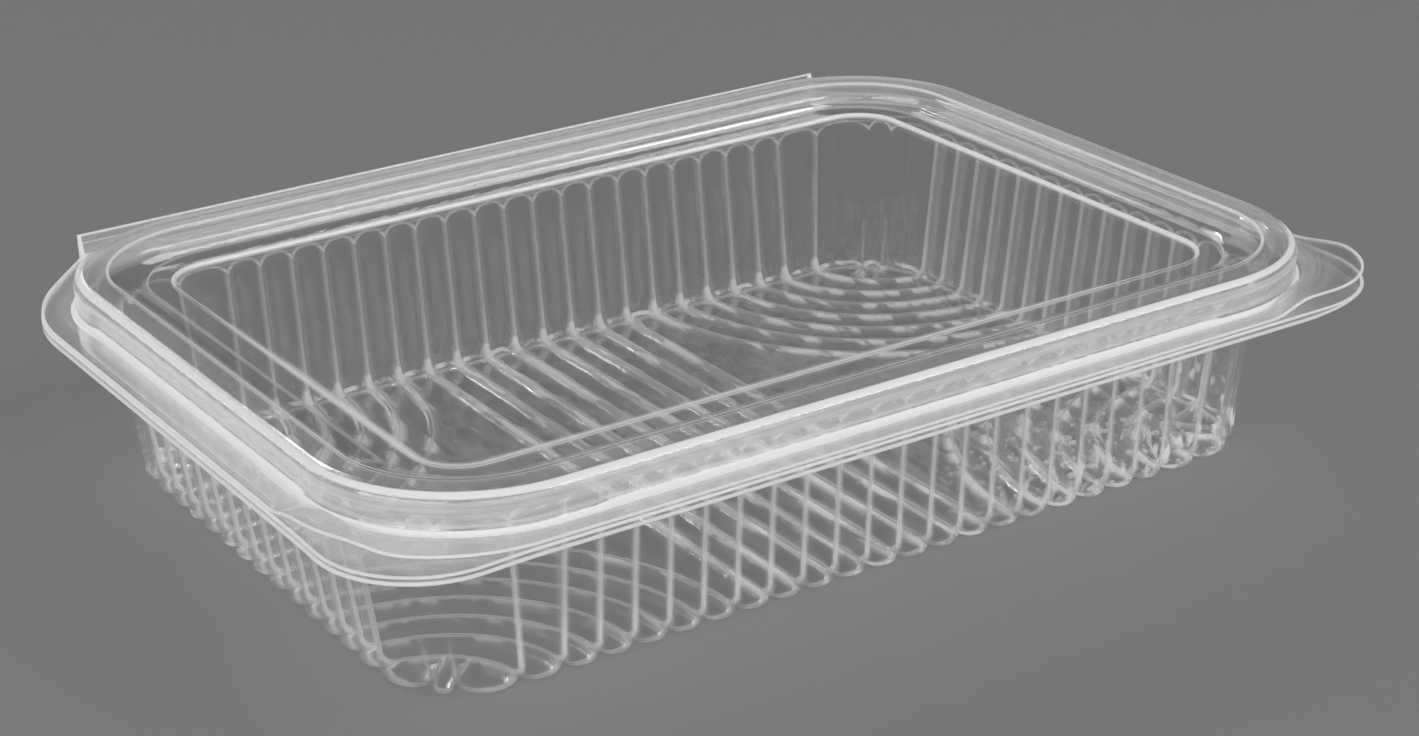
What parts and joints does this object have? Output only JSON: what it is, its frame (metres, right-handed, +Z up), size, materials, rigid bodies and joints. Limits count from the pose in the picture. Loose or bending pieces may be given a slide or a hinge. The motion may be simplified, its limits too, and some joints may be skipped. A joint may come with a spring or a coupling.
{
  "type": "hinged clear food container",
  "caption": "Clear thin-wall takeaway container with a fluted tray, a stepped press-fit lid hinged along its long edge, corner lobes and a pull tab, shut and empty.",
  "frame": {"origin": "centre of the tray's flat underside, in the plane it rests on", "axes": "+X along the hinge, +Y from the opening side towards the hinge, +Z up"},
  "size_m": [0.1882, 0.1432, 0.0364],
  "materials": {
    "clear_tray": "clear glossy thermoformed sheet",
    "clear_lid": "clear glossy thermoformed sheet"
  },
  "bodies": {
    "tray_body": {"tray": "clear_tray"},
    "lid_body": {"lid": "clear_lid"}
  },
  "joints": [
    {"name": "lid_hinge", "type": "hinge", "parent": "tray_body", "child": "lid_body", "pos_m": [0, 0.0732, 0.03395], "axis": [-1, 0, 0], "range_deg": [0, 180]}
  ]
}
